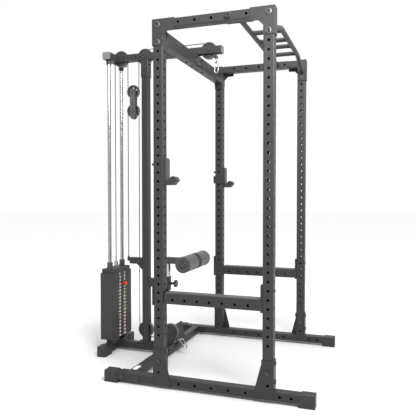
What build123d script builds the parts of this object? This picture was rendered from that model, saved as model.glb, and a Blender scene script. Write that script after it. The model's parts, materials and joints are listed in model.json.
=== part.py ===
from build123d import *
import os
from math import cos, sin, radians, sqrt

# Power cage with a lat and row tower, in millimetres.
# While modelling, X runs across the cage, Y runs from the front uprights (Y = 0) to the
# tower behind, and Z is up from the floor. save() then moves the origin to the middle of
# the footprint, on the floor.

# ---- driving dimensions: cage ----
frame_height = 2144.0
upright_spacing_x = 1150.0      # centre to centre across the cage
upright_spacing_y = 650.0       # centre to centre along the cage
upright_size = 60.0
tube_wall = 3.0
tube_corner = 5.0
hole_pitch = 50.0
hole_radius = 8.0
lowest_grid_hole_z = 165.0
first_open_hole = 3             # counted in pitches above the lowest grid hole
extra_foot_hole_z = 97.0
beam_height = 50.0              # base rails, side beams, lat beam and base beams
beam_width = 50.0
rail_ground_gap = 17.0
rail_front_overhang = 256.0     # from the front upright centre to the end of the boot
rail_rear_overhang = 362.0
boot_wall = 3.0
boot_top_length = 78.0
boot_bottom_length = 91.0
bracket_thickness = 4.0
fit_gap = 0.3                   # between pieces that move past each other
crossbeam_height = 80.0         # top crossbeam between the rear uprights
crossbeam_drop = 52.0           # crossbeam top below the frame's top
base_crossbeam_offset = 195.0   # behind the rear upright centres
end_flange_thickness = 6.0
corner_bolt_drop = 29.0         # least distance from the top bolt to the frame's top

# ---- driving dimensions: chinning bar ----
chin_tube_radius = 15.0
chin_rear_y = 180.0
chin_front_y = -8.0
chin_top_gap = 25.0             # bar axis below the frame's top
chin_bend_x = 300.0
chin_drop = 68.0
chin_grip_radius = 14.0
chin_flange_thickness = 8.0
chin_grip_x = (-260.0, -72.0, 72.0, 260.0)

# ---- driving dimensions: lat and row tower ----
post_size = 50.0
post_offset = 370.0             # behind the rear upright centres
sleeve_length = 121.0
stack_offset = 618.0            # behind the rear upright centres
rod_spacing = 180.0
rod_radius = 12.5
foot_half_width = 218.0
foot_depth = 60.0
crossbar_half_width = 125.0
lat_beam_front_y = 447.0
lat_pulley_y = 544.0
post_pulley_offset = 4.0        # behind the post centre
row_pulley_offset = 182.0       # behind the rear upright centres
low_axle_z = 163.0
cable_radius = 2.75
big_groove_radius = 52.0        # centre of the cable on the large pulleys
rim_lip = 5.5
block_rim_lip = 4.0
pulley_width = 20.0
block_pulley_width = 16.0
axle_radius = 6.0
axle_clearance = 0.05
block_hang = 241.0              # block's upper axle below the lat beam's axles
block_axle_spacing = 136.0

# ---- driving dimensions: weight stack ----
plate_width = 280.0
plate_depth = 100.0
plate_pitch = 25.0
plate_count = 19
lifted_count = 4
stack_bottom_z = 100.0
head_width = 250.0
head_depth = 92.0
head_height = 29.0
bushing_height = 45.0
stem_radius = 12.5
pin_radius = 4.5

# ---- driving dimensions: attachments ----
hook_pin_level = 23             # grid hole that carries the bar hooks
safety_pin_level = 9            # grid hole that carries the safety bars
safety_size = 60.0
safety_top_z = 562.0
liner_thickness = 8.0
knee_tube_size = 40.0
knee_y = 861.0
roller_y = 659.0
roller_z = 672.0
roller_radius = 54.5
roller_half_length = 205.0
roller_gap = 50.0
socket_bottom_z = 458.0
socket_top_z = 558.0
carabiner_length = 80.0
carabiner_width = 34.0
carabiner_wire = 4.0

# ---- places worked out from the driving dimensions ----
half_x = upright_spacing_x / 2
inner_x = half_x - upright_size / 2
outer_x = half_x + upright_size / 2
rear_y = upright_spacing_y
rail_bottom = rail_ground_gap
rail_top = rail_bottom + beam_height
rail_mid_z = (rail_bottom + rail_top) / 2
rail_front = -rail_front_overhang
rail_rear = rear_y + rail_rear_overhang
crossbeam_top_z = frame_height - crossbeam_drop
chin_z = frame_height - chin_top_gap
top_level = int((frame_height - corner_bolt_drop - lowest_grid_hole_z) // hole_pitch)
corner_bolt_levels = (top_level - 2, top_level)
last_open_hole = top_level - 3
beam_bottom = frame_height - beam_height
beam_mid_z = frame_height - beam_height / 2
post_y = rear_y + post_offset
stack_y = rear_y + stack_offset
base_crossbeam_y = rear_y + base_crossbeam_offset
lat_beam_bottom = crossbeam_top_z
lat_beam_top = lat_beam_bottom + beam_height
lat_axle_z = lat_beam_bottom + beam_height / 2
block_top_axle_z = lat_axle_z - block_hang
block_bottom_axle_z = block_top_axle_z - block_axle_spacing
post_pulley_y = post_y + post_pulley_offset
rear_pulley_y = stack_y - big_groove_radius
row_pulley_y = rear_y + row_pulley_offset
big_rim_radius = big_groove_radius + rim_lip
fall_front_y = post_pulley_y + big_groove_radius
fall_rear_y = rear_pulley_y - big_groove_radius
block_y = (fall_front_y + fall_rear_y) / 2
block_groove_radius = (fall_rear_y - fall_front_y) / 2
cheek_thickness = 4.0
cheek_inner = 12.0
hub_half = cheek_inner - fit_gap
drop_y = lat_pulley_y - big_groove_radius
low_run_z = low_axle_z - big_groove_radius
stack_top_z = stack_bottom_z + plate_count * plate_pitch
head_top_z = stack_top_z + head_height
selector_z = stack_top_z - (lifted_count - 0.5) * plate_pitch
footprint_middle_y = (rail_front + stack_y + plate_depth / 2) / 2
bolt_radius = hole_radius - 0.2
small_hole = 5.2
small_bolt = 5.0
post_bolt_offsets = (-42, 47)
base_bolt_x = 38.0
bracket_bolt_x = 62.0
sleeve_bolt_drops = (55.0, 104.0)   # below the lat beam
anchor_z = 690.0
washer_thickness = 2.5
roller_axle_radius = 12.0
lat_stop_radius = 12.5
row_stop_radius = 10.0
row_carabiner_tilt = 35.0
lat_stop_z = lat_axle_z - sqrt((big_rim_radius + lat_stop_radius + 1) ** 2 - big_groove_radius ** 2)
row_stop_y = row_pulley_y - sqrt((big_rim_radius + row_stop_radius + 1) ** 2 - big_groove_radius ** 2)
eye_radius = 10.0
eye_wire = 2.5
hang_distance = eye_wire + carabiner_wire + fit_gap


def grid_z(level):
    return lowest_grid_hole_z + level * hole_pitch


# ---- shape helpers ----
PLANES = {
    "X": ((0, 1, 0), (1, 0, 0)),
    "Y": ((1, 0, 0), (0, 1, 0)),
    "Z": ((1, 0, 0), (0, 0, 1)),
}


def plane_at(axis, point):
    x_direction, normal = PLANES[axis]
    return Plane(origin=point, x_dir=x_direction, z_dir=normal)


def rod(axis, start, end, radius):
    """Round bar between two points that lie along one axis."""
    middle = tuple((a + b) / 2 for a, b in zip(start, end))
    length = sum(abs(b - a) for a, b in zip(start, end))
    return extrude(plane_at(axis, middle) * Circle(radius), amount=length / 2, both=True)


def ring(axis, start, end, outer, inner):
    return rod(axis, start, end, outer) - rod(axis, start, end, inner)


def block(x_range, y_range, z_range):
    size = [high - low for low, high in (x_range, y_range, z_range)]
    middle = [(high + low) / 2 for low, high in (x_range, y_range, z_range)]
    return Pos(*middle) * Box(*size)


def tube(axis, start, end, width, height, wall=tube_wall, corner=tube_corner):
    """Rectangular tube; width is along X (along Y for a tube that runs along X)."""
    middle = tuple((a + b) / 2 for a, b in zip(start, end))
    length = sum(abs(b - a) for a, b in zip(start, end))
    inner_corner = max(corner - wall, 0.5)
    section = RectangleRounded(width, height, corner)
    section -= RectangleRounded(width - 2 * wall, height - 2 * wall, inner_corner)
    return extrude(plane_at(axis, middle) * section, amount=length / 2, both=True)


def plate_yz(points, x_low, x_high):
    """Flat plate whose outline is given in Y and Z, between two X values."""
    outline = make_face(Polyline(*[(x_low, y, z) for y, z in points], close=True))
    return extrude(outline, amount=x_high - x_low, dir=(1, 0, 0))


def mirrored(shape):
    """The same piece on the other side of the cage."""
    return mirror(shape, about=Plane.YZ)


def bolt(axis, start, end, radius, head_radius=11.0, head_height=7.0, nut=True):
    """Button-head bolt with a socket; its head lies before start and its nut after end."""
    step = {"X": (1, 0, 0), "Y": (0, 1, 0), "Z": (0, 0, 1)}[axis]
    sign = 1 if sum((b - a) * s for a, b, s in zip(start, end, step)) > 0 else -1
    head_end = tuple(a - sign * head_height * s for a, s in zip(start, step))
    socket_end = tuple(a - sign * head_height * 0.4 * s for a, s in zip(start, step))
    body = rod(axis, start, end, radius) + rod(axis, head_end, start, head_radius)
    socket = extrude(
        plane_at(axis, tuple((a + b) / 2 for a, b in zip(head_end, socket_end)))
        * RegularPolygon(head_radius * 0.45, 6), amount=head_height * 0.3, both=True)
    body -= socket
    if nut:
        nut_end = tuple(b + sign * head_height * s for b, s in zip(end, step))
        middle = tuple((a + b) / 2 for a, b in zip(end, nut_end))
        body += extrude(plane_at(axis, middle) * RegularPolygon(head_radius, 6),
                        amount=head_height / 2, both=True)
    return body


def swept(points_path, radius):
    start_plane = Plane(origin=points_path @ 0, z_dir=points_path % 0)
    return sweep(start_plane * Circle(radius), path=points_path)


nodes = {}


def save(name, *solids):
    """Write one node; several separate solids may share it."""
    moved = [Pos(0, -footprint_middle_y, 0) * solid for solid in solids]
    nodes[name] = moved
    shape = moved[0] if len(moved) == 1 else Compound(children=moved)
    export_step(shape, f"parts/{name}.step")


# ---- cage frame ----
def upright(x, y):
    body = tube("Z", (x, y, rail_top), (x, y, frame_height), upright_size, upright_size)
    reach = upright_size / 2 + 1
    levels = [grid_z(k) for k in range(first_open_hole, last_open_hole + 1)]
    across = levels + [grid_z(0), extra_foot_hole_z] + [grid_z(k) for k in corner_bolt_levels]
    along = levels + [grid_z(-1), grid_z(1)]
    cuts = [rod("X", (x - reach, y, z), (x + reach, y, z), hole_radius) for z in across]
    cuts += [rod("Y", (x, y - reach, z), (x, y + reach, z), hole_radius) for z in along]
    return body - cuts


def base_rail(x):
    inset = boot_wall
    body = tube("Y", (x, rail_front + inset, rail_mid_z), (x, rail_rear - inset, rail_mid_z),
                upright_size, beam_height)
    reach = upright_size / 2 + 1
    middle = rear_y / 2
    spots = [middle + 100 * k for k in (-2, -1, 0, 1, 2)]
    spots += [rail_front + 126, rail_front + 190]
    spots += [base_crossbeam_y - 49, base_crossbeam_y + 49]
    return body - [rod("X", (x - reach, y, rail_mid_z), (x + reach, y, rail_mid_z), hole_radius)
                   for y in spots]


def boot(end, inward):
    """Moulded boot over a tube end that points along Y, before it is placed at X = 0."""
    half = upright_size / 2 + boot_wall
    top = rail_top + boot_wall
    outline = [(end, 0), (end, top), (end + inward * boot_top_length, top),
               (end + inward * boot_bottom_length, 0)]
    body = plate_yz(outline, -half, half)
    body = chamfer(body.edges().filter_by(Axis.Z).group_by(Axis.Y)[0 if inward > 0 else -1], 2.0)
    low, high = sorted((end + inward * boot_wall, end + inward * 200))
    return body - block((-upright_size / 2, upright_size / 2), (low, high), (rail_bottom, rail_top))


def foot_bracket(y, inward):
    """Welded foot: side plate with a slanted edge, and a flange on both faces of the upright."""
    half = upright_size / 2
    side = [(y - inward * half, rail_bottom + 3), (y - inward * half, grid_z(1) + 20),
            (y + inward * half, grid_z(1) + 20), (y + inward * 73, rail_top + 2),
            (y + inward * 73, rail_bottom + 3)]
    outer = outer_x + bracket_thickness
    body = plate_yz(side, outer_x, outer)
    for offset in (-half - bracket_thickness, half):
        low = y + offset
        body += block((inner_x, outer), (low, low + bracket_thickness), (rail_top, grid_z(1) + 20))
    cuts = [rod("X", (outer_x - 5, y, z), (outer + 5, y, z), hole_radius)
            for z in (grid_z(0), extra_foot_hole_z)]
    cuts += [rod("Y", (half_x, y - half - 9, z), (half_x, y + half + 9, z), hole_radius)
             for z in (grid_z(-1), grid_z(1))]
    return body - cuts


def top_side_beam(x):
    half = upright_size / 2
    body = tube("Y", (x, half, beam_mid_z), (x, rear_y - half, beam_mid_z),
                upright_size, beam_height)
    reach = half + 1
    middle = rear_y / 2
    return body - [rod("X", (x - reach, middle + 100 * k, beam_mid_z),
                       (x + reach, middle + 100 * k, beam_mid_z), hole_radius)
                   for k in (-2, -1, 0, 1, 2)]


def top_corner(y, inward):
    """Corner plate: outer side plate, top cover and a flange over the upright's end face."""
    half = upright_size / 2
    outer = outer_x + bracket_thickness
    top = frame_height + tube_wall
    low = grid_z(corner_bolt_levels[0]) - 19
    side = [(y - inward * half, low), (y - inward * half, top), (y + inward * 105, top),
            (y + inward * 105, beam_bottom - 16), (y + inward * 58, beam_bottom - 19),
            (y + inward * half, beam_bottom - 47), (y + inward * half, low)]
    body = plate_yz(side, outer_x, outer)
    face_low, face_high = sorted((y - inward * half, y - inward * (half + bracket_thickness)))
    body += block((inner_x, outer), (face_low, face_high), (low, top))
    cover_low, cover_high = sorted((y - inward * half, y + inward * half))
    body += block((inner_x, outer), (cover_low, cover_high), (frame_height, top))
    return body - [rod("X", (outer_x - 5, y, grid_z(k)), (outer + 5, y, grid_z(k)), hole_radius)
                   for k in corner_bolt_levels]


def both_sides(shapes):
    return [*shapes, *[mirrored(shape) for shape in shapes]]


def build_cage():
    save("uprights", *both_sides([upright(half_x, 0), upright(half_x, rear_y)]))
    save("base_rails", *both_sides([base_rail(half_x)]))
    boots = [Pos(half_x, 0, 0) * boot(rail_front, 1), Pos(half_x, 0, 0) * boot(rail_rear, -1)]
    turned = Rot(0, 0, 90) * boot(-foot_half_width, 1)
    foot_boot = Pos(0, stack_y, 0) * turned
    save("foot_boots", *both_sides(boots), foot_boot, mirrored(foot_boot))
    save("foot_brackets", *both_sides([foot_bracket(0, 1), foot_bracket(rear_y, -1)]))
    save("top_side_beams", *both_sides([top_side_beam(half_x)]))
    save("top_corner_plates", *both_sides([top_corner(0, 1), top_corner(rear_y, -1)]))


def rear_top_crossbeam():
    low = crossbeam_top_z - crossbeam_height
    middle_z = crossbeam_top_z - crossbeam_height / 2
    thick = end_flange_thickness
    body = tube("X", (-inner_x + thick, rear_y, middle_z), (inner_x - thick, rear_y, middle_z),
                upright_size, crossbeam_height)
    for side in (-1, 1):
        x_range = sorted((side * inner_x, side * (inner_x - thick)))
        body += block(x_range, (rear_y - 30, rear_y + 30), (low - 40, crossbeam_top_z + 35))
    # seat plate with two lugs that hold the lat beam
    body += block((-80, 80), (rear_y - 36, rear_y - 30), (low + 8, crossbeam_top_z - 6))
    lug_inner = beam_width / 2
    for x_range in ((-lug_inner - 6, -lug_inner), (lug_inner, lug_inner + 6)):
        body += block(x_range, (rear_y - 24, rear_y + 24), (crossbeam_top_z, crossbeam_top_z + 42))
    cuts = [rod("Y", (x, rear_y - 40, z), (x, rear_y + 31, z), small_hole)
            for x in (-60, 60) for z in (low + 22, low + 58)]
    cuts.append(rod("X", (-lug_inner - 7, rear_y, lat_axle_z), (lug_inner + 7, rear_y, lat_axle_z),
                    small_hole))
    cuts += [rod("Z", (x, rear_y, low - 1), (x, rear_y, low + tube_wall + 1), hole_radius * 1.4)
             for x in (-150, -50, 50, 150)]
    cuts += [rod("Y", (side * 287, rear_y - 31, low + 56), (side * 287, rear_y + 31, low + 56),
                 hole_radius) for side in (-1, 1)]
    cuts += [rod("X", (side * (inner_x - thick), rear_y, grid_z(k)),
                 (side * (inner_x + 1), rear_y, grid_z(k)), hole_radius)
             for side in (-1, 1) for k in corner_bolt_levels]
    return body - cuts


def rear_base_crossbeam():
    thick = end_flange_thickness
    y = base_crossbeam_y
    body = tube("X", (-inner_x + thick, y, rail_mid_z), (inner_x - thick, y, rail_mid_z),
                beam_width, beam_height)
    for side in (-1, 1):
        x_range = sorted((side * inner_x, side * (inner_x - thick)))
        body += block(x_range, (y - 74, y + 74), (rail_bottom, rail_top))
    cuts = [rod("X", (side * (inner_x - 20), y + dy, rail_mid_z), (side * inner_x, y + dy, rail_mid_z),
                hole_radius) for side in (-1, 1) for dy in (-49, 49)]
    cuts += [rod("Y", (side * x, y - 30, rail_mid_z), (side * x, y + 30, rail_mid_z), small_hole)
             for side in (-1, 1) for x in (base_bolt_x, bracket_bolt_x)]
    return body - cuts


def chinning_bar():
    """Welded bar with a bent front tube, a straight rear tube, four grips and end flanges."""
    r = chin_tube_radius
    end_x = inner_x - chin_flange_thickness
    drop_z = chin_z - chin_drop
    low_bolt_z = grid_z(corner_bolt_levels[0])
    front_path = FilletPolyline((-end_x, chin_front_y, drop_z), (-chin_bend_x, chin_front_y, chin_z),
                                (chin_bend_x, chin_front_y, chin_z), (end_x, chin_front_y, drop_z),
                                radius=120)
    body = swept(front_path, r)
    body += rod("X", (-end_x, chin_rear_y, chin_z), (end_x, chin_rear_y, chin_z), r)
    for x in chin_grip_x:
        body += rod("Y", (x, chin_front_y, chin_z), (x, chin_rear_y, chin_z), chin_grip_radius)
    middle = rear_y / 2
    for side in (-1, 1):
        x_range = sorted((side * inner_x, side * end_x))
        body += block(x_range, (middle - 225, middle - 75), (beam_bottom, frame_height - 1))
        body += block(x_range, (-28, 28), (low_bolt_z - 25, low_bolt_z + hole_pitch + 25))
    cuts = [rod("X", (side * (inner_x - 20), middle + 100 * k, beam_mid_z),
                (side * inner_x, middle + 100 * k, beam_mid_z), hole_radius)
            for side in (-1, 1) for k in (-2, -1)]
    cuts += [rod("X", (side * (end_x - 2), 0, low_bolt_z), (side * inner_x, 0, low_bolt_z),
                 hole_radius) for side in (-1, 1)]
    return body - cuts


def build_cross_members():
    save("rear_top_crossbeam", rear_top_crossbeam())
    save("rear_base_crossbeam", rear_base_crossbeam())
    save("multigrip_chinning_bar", chinning_bar())


# ---- tower ----
def lat_beam():
    """Top beam with slots for three pulleys and the sleeve that sits on the post."""
    back = stack_y - foot_depth / 2
    front = lat_beam_front_y + boot_wall
    body = tube("Y", (0, front, lat_axle_z), (0, back, lat_axle_z), beam_width, beam_height)
    half = cheek_inner + 1
    cuts = []
    for y in (lat_pulley_y, post_pulley_y, rear_pulley_y):
        reach = big_rim_radius + 4
        cuts.append(block((-half, half), (y - reach, min(y + reach, back + 1)),
                          (lat_beam_bottom - 1, lat_beam_top + 1)))
        cuts.append(rod("X", (-26, y, lat_axle_z), (26, y, lat_axle_z), axle_radius + 0.1))
    for k in (-2, -1, 1, 2):
        y = (post_pulley_y + rear_pulley_y) / 2 + 31 * k
        cuts.append(rod("X", (-26, y, lat_axle_z), (26, y, lat_axle_z), 5.0))
    cuts.append(rod("X", (-26, rear_y, lat_axle_z), (26, rear_y, lat_axle_z), small_hole))
    return body - cuts


def post_sleeve():
    low = lat_beam_bottom - sleeve_length
    size = post_size + 2 * tube_wall + 0.6
    body = tube("Z", (0, post_y, low), (0, post_y, lat_beam_bottom), size, size)
    half = cheek_inner + 1
    reach = big_rim_radius + 4
    cuts = [block((-half, half), (post_pulley_y - reach, post_pulley_y + reach),
                  (lat_axle_z - reach, lat_beam_bottom + 1))]
    for z in (lat_beam_bottom - drop for drop in sleeve_bolt_drops):
        cuts.append(rod("X", (-size, post_y, z), (size, post_y, z), small_hole))
    return body - cuts


def tower_post():
    body = tube("Z", (0, post_y, rail_top + 8), (0, post_y, lat_beam_bottom), post_size, post_size)
    half = cheek_inner + 1
    reach = big_rim_radius + 4
    body += block((-30, 30), (post_y - 55, post_y + 60), (rail_top, rail_top + 8))
    cuts = [block((-half, half), (post_pulley_y - reach, post_pulley_y + reach),
                  (lat_axle_z - reach, lat_beam_bottom + 1)),
            block((-half, half), (post_pulley_y - reach, post_pulley_y + reach),
                  (low_axle_z - reach, low_axle_z + reach)),
            rod("X", (-26, post_pulley_y, low_axle_z), (26, post_pulley_y, low_axle_z),
                axle_radius + 0.1)]
    for z in (lat_beam_bottom - drop for drop in sleeve_bolt_drops):
        cuts.append(rod("X", (-40, post_y, z), (40, post_y, z), small_hole))
    for dy in post_bolt_offsets:
        cuts.append(rod("Z", (0, post_y + dy, rail_top - 1), (0, post_y + dy, rail_top + 9), small_hole))
    return body - cuts


def tower_base():
    """Base beam from the rear crossbeam to the wide foot under the weight stack."""
    front = base_crossbeam_y + beam_width / 2
    back = stack_y - foot_depth / 2
    inset = foot_half_width - boot_wall
    body = tube("X", (-inset, stack_y, rail_mid_z), (inset, stack_y, rail_mid_z),
                foot_depth, beam_height)
    body += tube("Y", (0, front + 6, rail_mid_z), (0, back, rail_mid_z), beam_width, beam_height)
    body += block((-50, 50), (front, front + 6), (rail_bottom, rail_top))
    cuts = [rod("Z", (0, post_y + dy, rail_top - 5), (0, post_y + dy, rail_top + 1), small_hole)
            for dy in post_bolt_offsets]
    cuts += [rod("Y", (x, front - 1, rail_mid_z), (x, front + 7, rail_mid_z), small_hole)
             for x in (-base_bolt_x, base_bolt_x)]
    return body - cuts


def stack_crossbar():
    """Crossbar on top of the guide rods, notched for the rear pulley and the stack cable."""
    body = tube("X", (-crossbar_half_width + boot_wall, stack_y, lat_axle_z),
                (crossbar_half_width - boot_wall, stack_y, lat_axle_z), foot_depth, beam_height)
    half = cheek_inner + 1
    return body - block((-half, half), (stack_y - foot_depth, stack_y + 12),
                        (lat_beam_bottom - 1, lat_beam_top + 1))


def tube_plugs():
    """Plastic plugs on the open ends of the lat beam and of the crossbar."""
    front = lat_beam_front_y
    plug = block((-25, 25), (front, front + boot_wall), (lat_beam_bottom, lat_beam_top))
    plug = fillet(plug.edges().filter_by(Axis.Y), 4.0)
    low, high = sorted((crossbar_half_width - boot_wall, crossbar_half_width))
    side = block((low, high), (stack_y - foot_depth / 2, stack_y + foot_depth / 2),
                 (lat_beam_bottom, lat_beam_top))
    side = fillet(side.edges().filter_by(Axis.X), 4.0)
    return [plug, side, mirrored(side)]


def knee_socket():
    """Stub from the post with an upright square socket for the knee hold-down."""
    front = post_y - post_size / 2
    socket_size = knee_tube_size + 2 * tube_wall + 2 * fit_gap
    stub_z = (socket_bottom_z + socket_top_z) / 2
    socket = tube("Z", (0, knee_y, socket_bottom_z), (0, knee_y, socket_top_z),
                  socket_size, socket_size, corner=3.6)
    socket_back = knee_y + socket_size / 2
    stub = tube("Y", (0, socket_back, stub_z), (0, front, stub_z), knee_tube_size, 60)
    boss_front = knee_y - socket_size / 2
    boss = rod("Y", (0, boss_front - 14, stub_z), (0, boss_front, stub_z), 11)
    bore = rod("Y", (0, boss_front - 20, stub_z), (0, boss_front + 10, stub_z), 5.0 + fit_gap)
    return socket + stub + boss - bore


def cable_anchor():
    """Arm behind the post that holds the fixed end of the row cable; the other run passes through."""
    back = post_y + post_size / 2
    low = anchor_z - 53
    arm_end = fall_rear_y - 20
    arm = tube("Y", (0, back, low + 22.5), (0, arm_end, low + 22.5), 40, 45, corner=4.0)
    for x_low in (-15, 11):
        arm += plate_yz([(back, low - 45), (back, low), (back + 45, low)], x_low, x_low + 4)
    arm += block((-19, 19), (arm_end, arm_end + 3), (low + 1, low + 44))
    lug = block((-6, 6), (arm_end + 3, fall_rear_y + 8), (low + 18, low + 44))
    stud = rod("Z", (0, fall_rear_y, low + 44), (0, fall_rear_y, anchor_z), 7.0)
    passage = rod("Z", (0, fall_front_y, low - 1), (0, fall_front_y, low + 46), 9.0)
    return arm + lug + stud - passage


def row_pulley_bracket():
    """Two cheeks on the base crossbeam for the row pulley, with a bolted front flange."""
    y = row_pulley_y
    cheek_radius = 46.0
    top = rail_top + 5
    front = base_crossbeam_y - beam_width / 2
    body = block((-45, 45), (front, front + beam_width), (rail_top, top))
    body += block((-75, 75), (front - 5, front), (rail_bottom, rail_top + 5))
    for x in (-cheek_inner - cheek_thickness, cheek_inner):
        web = plate_yz([(front + 1, top), (front + beam_width - 1, top),
                        (y + cheek_radius, low_axle_z), (y - cheek_radius, low_axle_z)],
                       x, x + cheek_thickness)
        body += web + rod("X", (x, y, low_axle_z), (x + cheek_thickness, y, low_axle_z), cheek_radius)
    cuts = [rod("X", (-30, y, low_axle_z), (30, y, low_axle_z), axle_radius + 0.1)]
    cuts += [rod("Y", (side * x, front - 6, rail_mid_z), (side * x, front + 1, rail_mid_z), small_hole)
             for side in (-1, 1) for x in (base_bolt_x, bracket_bolt_x)]
    return body - cuts


def foot_plate():
    """Slanted foot rest beside the row pulley, on two ribs."""
    front = base_crossbeam_y - beam_width / 2
    low_y, low_z, high_y, high_z = front - 36, rail_top - 17, front + 2, rail_top + 130
    body = plate_yz([(low_y, low_z), (low_y + 5, low_z), (high_y + 5, high_z), (high_y, high_z)],
                    30, 180)
    rib = [(low_y + 3, low_z), (front, low_z), (front, rail_top + 60), (high_y - 18, rail_top + 60)]
    for x in (85, 160):
        body += plate_yz(rib, x, x + 6)
    return body


def stack_rods():
    bottom, top = rail_top, lat_beam_bottom
    rods, collars = [], []
    for x in (-rod_spacing / 2, rod_spacing / 2):
        rods.append(rod("Z", (x, stack_y, bottom), (x, stack_y, top), rod_radius))
        collar = ring("Z", (x, stack_y, top - 30), (x, stack_y, top), 18.5, rod_radius)
        grooves = [ring("Z", (x, stack_y, top - z - 3), (x, stack_y, top - z), 20, 16.5)
                   for z in (6, 14, 22)]
        collars.append(collar - grooves)
        collars.append(ring("Z", (x, stack_y, bottom), (x, stack_y, stack_bottom_z), 27, rod_radius))
    save("guide_rods", *rods)
    save("rod_cushions", *collars)


def build_tower():
    save("lat_beam", lat_beam(), post_sleeve())
    save("tower_post", tower_post())
    save("tower_base", tower_base())
    save("stack_crossbar", stack_crossbar())
    save("tube_plugs", *tube_plugs())
    save("knee_socket", knee_socket())
    save("cable_anchor", cable_anchor())
    save("row_pulley_bracket", row_pulley_bracket())
    save("foot_plate", foot_plate())
    stack_rods()


# ---- weight stack ----
def weight_plate(index):
    """One plate, counted from the bottom, with rod, stem and pin holes."""
    low = stack_bottom_z + index * plate_pitch
    high = low + plate_pitch - fit_gap
    middle = low + plate_pitch / 2
    body = block((-plate_width / 2, plate_width / 2),
                 (stack_y - plate_depth / 2, stack_y + plate_depth / 2), (low, high))
    body = chamfer(body.edges().filter_by(Axis.Z), 2.0)
    cuts = [rod("Z", (x, stack_y, low - 1), (x, stack_y, high + 1), rod_radius + 1.5)
            for x in (-rod_spacing / 2, rod_spacing / 2)]
    cuts.append(rod("Z", (0, stack_y, low - 1), (0, stack_y, high + 1), stem_radius + 1))
    cuts.append(rod("Y", (0, stack_y - plate_depth, middle), (0, stack_y, middle), pin_radius + 0.3))
    return body - cuts


def head_plate():
    low, high = stack_top_z, head_top_z
    body = block((-head_width / 2, head_width / 2),
                 (stack_y - head_depth / 2, stack_y + head_depth / 2), (low, high))
    body = chamfer(body.edges().filter_by(Axis.Z), 2.0)
    cuts = [rod("Z", (x, stack_y, low - 1), (x, stack_y, high + 1), rod_radius + 1.5)
            for x in (-rod_spacing / 2, rod_spacing / 2)]
    cuts.append(rod("Z", (0, stack_y, low - 1), (0, stack_y, high - 4), stem_radius))
    return body - cuts


def selector_stem():
    """Stem through the stack, drilled at each plate for the selector pin."""
    body = rod("Z", (0, stack_y, stack_bottom_z + 6), (0, stack_y, head_top_z - 4), stem_radius)
    cuts = []
    for index in range(plate_count):
        z = stack_bottom_z + (index + 0.5) * plate_pitch
        cuts.append(rod("Y", (0, stack_y - 20, z), (0, stack_y + 20, z), pin_radius + 0.3))
    return body - cuts


def cable_clevis():
    """Clevis on the head plate, its cross pin, and the swaged end of the stack cable."""
    low = head_top_z
    base = rod("Z", (0, stack_y, low), (0, stack_y, low + 9), 15)
    fork = block((-14, -8), (stack_y - 9, stack_y + 9), (low + 9, low + 44))
    fork += block((8, 14), (stack_y - 9, stack_y + 9), (low + 9, low + 44))
    pin_z = low + 34
    pin = rod("X", (-17, stack_y, pin_z), (17, stack_y, pin_z), 4)
    hole = rod("X", (-20, stack_y, pin_z), (20, stack_y, pin_z), 4)
    eye = rod("X", (-6, stack_y, pin_z), (6, stack_y, pin_z), 11) - hole
    swage = rod("Z", (0, stack_y, pin_z + 9), (0, stack_y, low + 78), 5.5)
    return [base + fork - hole, pin, eye + swage - hole]


def selector_pin():
    """Pin with a round knob; the knob lies in front of the stack."""
    face = stack_y - plate_depth / 2
    body = rod("Y", (0, face - 6, selector_z), (0, stack_y + stem_radius, selector_z), pin_radius)
    knob = rod("Y", (0, face - 34, selector_z), (0, face - 6, selector_z), 13)
    knob = fillet(knob.edges(), 4.0)
    neck = rod("Y", (0, face - 7, selector_z), (0, face - 1, selector_z), 8)
    return body + knob + neck


def pin_lanyard():
    """Short cord from an eyelet on the head plate to the back of the pin's knob."""
    face = stack_y - head_depth / 2
    start = (24, face - 0.5, head_top_z - 8)
    points = [start, (26, face - 14, head_top_z - 12), (34, face - 22, head_top_z - 42),
              (33, face - 24, selector_z + 52), (24, face - 20, selector_z + 22),
              (13, face - 16, selector_z + 9)]
    radii = [6, 14, 24, 14]
    return swept(FilletPolyline(*points, radius=radii), 1.5)


def build_stack():
    resting = plate_count - lifted_count
    save("resting_weight_plates", *[weight_plate(k) for k in range(resting)])
    save("lifted_weight_plates", *[weight_plate(k) for k in range(resting, plate_count)])
    save("stack_head_plate", head_plate())
    save("selector_stem", selector_stem())
    bushings = [ring("Z", (x, stack_y, head_top_z), (x, stack_y, head_top_z + bushing_height),
                     20, rod_radius + 0.1) for x in (-rod_spacing / 2, rod_spacing / 2)]
    save("guide_bushings", *bushings)
    save("stack_cable_clevis", *cable_clevis())
    save("selector_pin", selector_pin())
    save("pin_lanyard", pin_lanyard())


# ---- pulleys and cables ----
def pulley(y, z, groove_radius, lip, width):
    """Grooved pulley on the X axis, with a hub, a thin web and a rim."""
    rim = groove_radius + lip
    half = width / 2
    hub = 15.0
    groove = cable_radius + 0.45
    rim_inner = groove_radius - groove - 4
    bore = axle_radius + axle_clearance
    right = Polyline((0, bore), (hub_half, bore), (hub_half, hub), (half * 0.5, hub + 2),
                     (half * 0.5, rim_inner - 2), (half, rim_inner), (half, rim),
                     (groove + 1.2, rim), (groove, groove_radius))
    arc = ThreePointArc((groove, groove_radius), (0, groove_radius - groove),
                        (-groove, groove_radius))
    left = mirror(right, about=Plane.YZ)
    profile = make_face(right + arc + left)
    wheel = revolve(profile, axis=Axis.X)
    holes = [(Rot(60 * k, 0, 0) * rod("X", (-half, 0, 27), (half, 0, 27), 6.5))
             for k in range(6)]
    return Pos(0, y, z) * (wheel - holes)


def arc_yz(center_y, center_z, radius, start_deg, end_deg):
    """Arc in the X = 0 plane; angles are measured from +Y towards +Z."""
    def spot(angle):
        return (0, center_y + radius * cos(radians(angle)), center_z + radius * sin(radians(angle)))
    return ThreePointArc(spot(start_deg), spot((start_deg + end_deg) / 2), spot(end_deg))


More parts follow.
